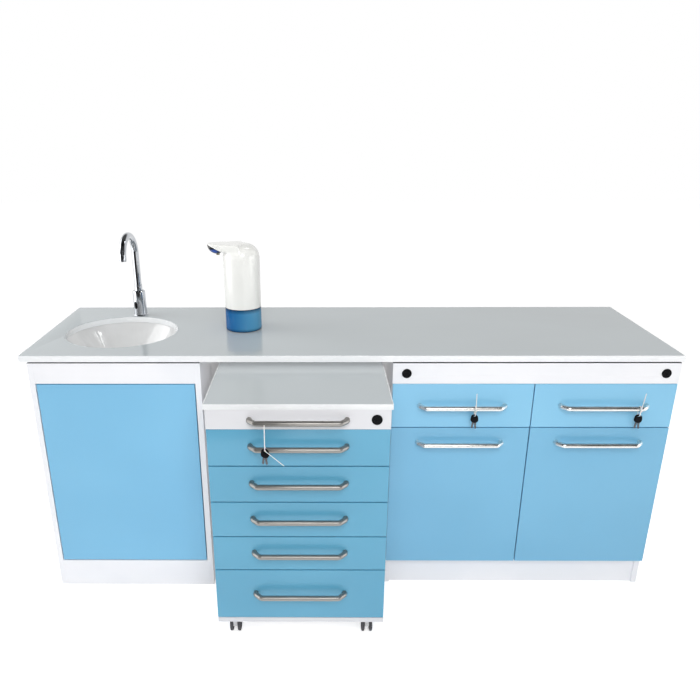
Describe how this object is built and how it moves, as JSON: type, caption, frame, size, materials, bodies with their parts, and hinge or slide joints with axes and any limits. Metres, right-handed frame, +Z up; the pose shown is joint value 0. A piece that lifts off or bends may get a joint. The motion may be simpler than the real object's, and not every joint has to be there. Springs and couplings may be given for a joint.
{
  "type": "dental treatment room cabinet",
  "caption": "Clinic cabinet run with a round sink, sensor tap and soap dispenser, a storage cabinet with drawers and doors, and a lockable mobile drawer pedestal.",
  "frame": {"origin": "on the floor, half way along the worktop, and half way from the wall plane to the front-most tie", "axes": "+X to the right along the worktop, +Y towards the wall, +Z up"},
  "size_m": [2.06, 0.9394, 1.164],
  "materials": {
    "glass_top": "glossy, back-painted pale grey",
    "white_edging": "glossy white edge strip",
    "white_panel": "white melamine on board",
    "blue_front": "satin light blue",
    "drawer_box_white": "white board",
    "basin_white": "glazed white",
    "waste_plastic": "grey-white pipe plastic",
    "chrome": "polished chrome",
    "satin_aluminium": "satin anodised",
    "black_lock": "black",
    "zinc_steel": "zinc-plated",
    "key_steel": "black plastic bows, steel blades, white nylon tie",
    "caster_grey": "moulded pale grey nylon",
    "wheel_grey": "grey tyre",
    "tank_blue": "clear blue",
    "dispenser_white": "glossy white"
  },
  "bodies": {
    "cabinet_run": {"worktop_glass": "glass_top", "worktop_board": "white_edging", "sink_basin": "basin_white", "sink_waste": "waste_plastic", "faucet_base": "chrome", "sink_cabinet": "white_panel", "storage_cabinet": "white_panel", "storage_shelf": "white_panel", "storage_drawer_rails": "zinc_steel", "storage_lock_bodies": "black_lock", "door_hinges": "zinc_steel"},
    "sink_door": {"sink_door": "blue_front"},
    "storage_door_left": {"storage_door_left": "blue_front", "storage_door_left_handle": "satin_aluminium"},
    "storage_door_right": {"storage_door_right": "blue_front", "storage_door_right_handle": "satin_aluminium"},
    "storage_drawer_left": {"storage_drawer_left_front": "blue_front", "storage_drawer_left_box": "drawer_box_white", "storage_drawer_left_handle": "satin_aluminium"},
    "storage_lock_core_left": {"storage_lock_core_left": "black_lock"},
    "storage_left_key_set": {"storage_left_key_set": "key_steel"},
    "storage_drawer_right": {"storage_drawer_right_front": "blue_front", "storage_drawer_right_box": "drawer_box_white", "storage_drawer_right_handle": "satin_aluminium"},
    "storage_lock_core_right": {"storage_lock_core_right": "black_lock"},
    "storage_right_key_set": {"storage_right_key_set": "key_steel"},
    "pedestal": {"pedestal_cabinet": "white_panel", "pedestal_top": "white_edging", "pedestal_pull_handle": "satin_aluminium", "pedestal_drawer_rails": "zinc_steel", "pedestal_lock_body": "black_lock"},
    "pedestal_drawer_1": {"pedestal_drawer_1_front": "blue_front", "pedestal_drawer_1_box": "drawer_box_white", "pedestal_drawer_1_handle": "satin_aluminium"},
    "pedestal_drawer_2": {"pedestal_drawer_2_front": "blue_front", "pedestal_drawer_2_box": "drawer_box_white", "pedestal_drawer_2_handle": "satin_aluminium"},
    "pedestal_drawer_3": {"pedestal_drawer_3_front": "blue_front", "pedestal_drawer_3_box": "drawer_box_white", "pedestal_drawer_3_handle": "satin_aluminium"},
    "pedestal_drawer_4": {"pedestal_drawer_4_front": "blue_front", "pedestal_drawer_4_box": "drawer_box_white", "pedestal_drawer_4_handle": "satin_aluminium"},
    "pedestal_drawer_5": {"pedestal_drawer_5_front": "blue_front", "pedestal_drawer_5_box": "drawer_box_white", "pedestal_drawer_5_handle": "satin_aluminium"},
    "pedestal_lock_core": {"pedestal_lock_core": "black_lock"},
    "pedestal_lock_bar": {"pedestal_lock_bar": "zinc_steel"},
    "pedestal_key_set": {"pedestal_key_set": "key_steel"},
    "caster_front_left_frame": {"caster_front_left_frame": "caster_grey"},
    "caster_front_left_wheels": {"caster_front_left_wheels": "wheel_grey"},
    "caster_front_right_frame": {"caster_front_right_frame": "caster_grey"},
    "caster_front_right_wheels": {"caster_front_right_wheels": "wheel_grey"},
    "caster_rear_left_frame": {"caster_rear_left_frame": "caster_grey"},
    "caster_rear_left_wheels": {"caster_rear_left_wheels": "wheel_grey"},
    "caster_rear_right_frame": {"caster_rear_right_frame": "caster_grey"},
    "caster_rear_right_wheels": {"caster_rear_right_wheels": "wheel_grey"},
    "faucet_spout": {"faucet_spout": "chrome"},
    "dispenser": {"dispenser_housing": "dispenser_white", "dispenser_tank": "tank_blue"}
  },
  "joints": [
    {"name": "sink_door_hinge", "type": "hinge", "parent": "cabinet_run", "child": "sink_door", "pos_m": [-0.985, -0.12832, 0.4], "axis": [0, 0, -1], "range_deg": [0, 105]},
    {"name": "storage_door_left_hinge", "type": "hinge", "parent": "cabinet_run", "child": "storage_door_left", "pos_m": [0.1355, -0.12832, 0.35], "axis": [0, 0, -1], "range_deg": [0, 85]},
    {"name": "storage_door_right_hinge", "type": "hinge", "parent": "cabinet_run", "child": "storage_door_right", "pos_m": [1.0225, -0.12832, 0.35], "axis": [0, 0, 1], "range_deg": [0, 105]},
    {"name": "storage_drawer_left_slide", "type": "slide", "parent": "cabinet_run", "child": "storage_drawer_left", "axis": [0, -1, 0], "range_m": [0, 0.38]},
    {"name": "storage_lock_left_turn", "type": "hinge", "parent": "cabinet_run", "child": "storage_lock_core_left", "pos_m": [0.177, -0.12832, 0.792], "axis": [0, 1, 0], "range_deg": [0, 90]},
    {"name": "storage_left_key_swing", "type": "hinge", "parent": "storage_drawer_left", "child": "storage_left_key_set", "pos_m": [0.3925, -0.15632, 0.6845], "axis": [1, 0, 0], "range_deg": [-50, 15]},
    {"name": "storage_drawer_right_slide", "type": "slide", "parent": "cabinet_run", "child": "storage_drawer_right", "axis": [0, -1, 0], "range_m": [0, 0.38]},
    {"name": "storage_lock_right_turn", "type": "hinge", "parent": "cabinet_run", "child": "storage_lock_core_right", "pos_m": [0.981, -0.12832, 0.792], "axis": [0, -1, 0], "range_deg": [0, 90]},
    {"name": "storage_right_key_swing", "type": "hinge", "parent": "storage_drawer_right", "child": "storage_right_key_set", "pos_m": [0.9045, -0.15632, 0.6845], "axis": [1, 0, 0], "range_deg": [-50, 15]},
    {"name": "pedestal_roll", "type": "slide", "parent": "cabinet_run", "child": "pedestal", "axis": [0, -1, 0], "range_m": [-0.29, 0.45]},
    {"name": "pedestal_drawer_1_slide", "type": "slide", "parent": "pedestal", "child": "pedestal_drawer_1", "axis": [0, -1, 0], "range_m": [0, 0.36]},
    {"name": "pedestal_drawer_2_slide", "type": "slide", "parent": "pedestal", "child": "pedestal_drawer_2", "axis": [0, -1, 0], "range_m": [0, 0.36]},
    {"name": "pedestal_drawer_3_slide", "type": "slide", "parent": "pedestal", "child": "pedestal_drawer_3", "axis": [0, -1, 0], "range_m": [0, 0.36]},
    {"name": "pedestal_drawer_4_slide", "type": "slide", "parent": "pedestal", "child": "pedestal_drawer_4", "axis": [0, -1, 0], "range_m": [0, 0.36]},
    {"name": "pedestal_drawer_5_slide", "type": "slide", "parent": "pedestal", "child": "pedestal_drawer_5", "axis": [0, -1, 0], "range_m": [0, 0.36]},
    {"name": "pedestal_lock_turn", "type": "hinge", "parent": "pedestal", "child": "pedestal_lock_core", "pos_m": [0.063, -0.42032, 0.765], "axis": [0, 1, 0], "range_deg": [0, 90]},
    {"name": "pedestal_lock_bar_drop", "type": "slide", "parent": "pedestal", "child": "pedestal_lock_bar", "axis": [0, 0, -1], "range_m": [0, 0.012]},
    {"name": "pedestal_key_swing", "type": "hinge", "parent": "pedestal_drawer_1", "child": "pedestal_key_set", "pos_m": [-0.243, -0.44832, 0.684], "axis": [1, 0, 0], "range_deg": [0, 40]},
    {"name": "caster_front_left_swivel", "type": "hinge", "parent": "pedestal", "child": "caster_front_left_frame", "pos_m": [-0.362, -0.37532, 0.08], "axis": [0, 0, 1], "continuous": true},
    {"name": "caster_front_left_roll", "type": "hinge", "parent": "caster_front_left_frame", "child": "caster_front_left_wheels", "pos_m": [-0.362, -0.35532, 0.03], "axis": [1, 0, 0], "continuous": true},
    {"name": "caster_front_right_swivel", "type": "hinge", "parent": "pedestal", "child": "caster_front_right_frame", "pos_m": [0.056, -0.37532, 0.08], "axis": [0, 0, 1], "continuous": true},
    {"name": "caster_front_right_roll", "type": "hinge", "parent": "caster_front_right_frame", "child": "caster_front_right_wheels", "pos_m": [0.056, -0.35532, 0.03], "axis": [1, 0, 0], "continuous": true},
    {"name": "caster_rear_left_swivel", "type": "hinge", "parent": "pedestal", "child": "caster_rear_left_frame", "pos_m": [-0.362, 0.03468, 0.08], "axis": [0, 0, 1], "continuous": true},
    {"name": "caster_rear_left_roll", "type": "hinge", "parent": "caster_rear_left_frame", "child": "caster_rear_left_wheels", "pos_m": [-0.362, 0.05468, 0.03], "axis": [1, 0, 0], "continuous": true},
    {"name": "caster_rear_right_swivel", "type": "hinge", "parent": "pedestal", "child": "caster_rear_right_frame", "pos_m": [0.056, 0.03468, 0.08], "axis": [0, 0, 1], "continuous": true},
    {"name": "caster_rear_right_roll", "type": "hinge", "parent": "caster_rear_right_frame", "child": "caster_rear_right_wheels", "pos_m": [0.056, 0.05468, 0.03], "axis": [1, 0, 0], "continuous": true},
    {"name": "faucet_spout_swing", "type": "hinge", "parent": "cabinet_run", "child": "faucet_spout", "pos_m": [-0.762, 0.35868, 0.944], "axis": [0, 0, 1], "range_deg": [-60, 60]},
    {"name": "dispenser_lift", "type": "slide", "parent": "cabinet_run", "child": "dispenser", "axis": [0, 0, 1], "range_m": [0, 0.25]}
  ],
  "couplings": [
    {"joint": "pedestal_lock_turn", "follows": "pedestal_lock_bar_drop", "rad_per_m": 130.89}
  ]
}
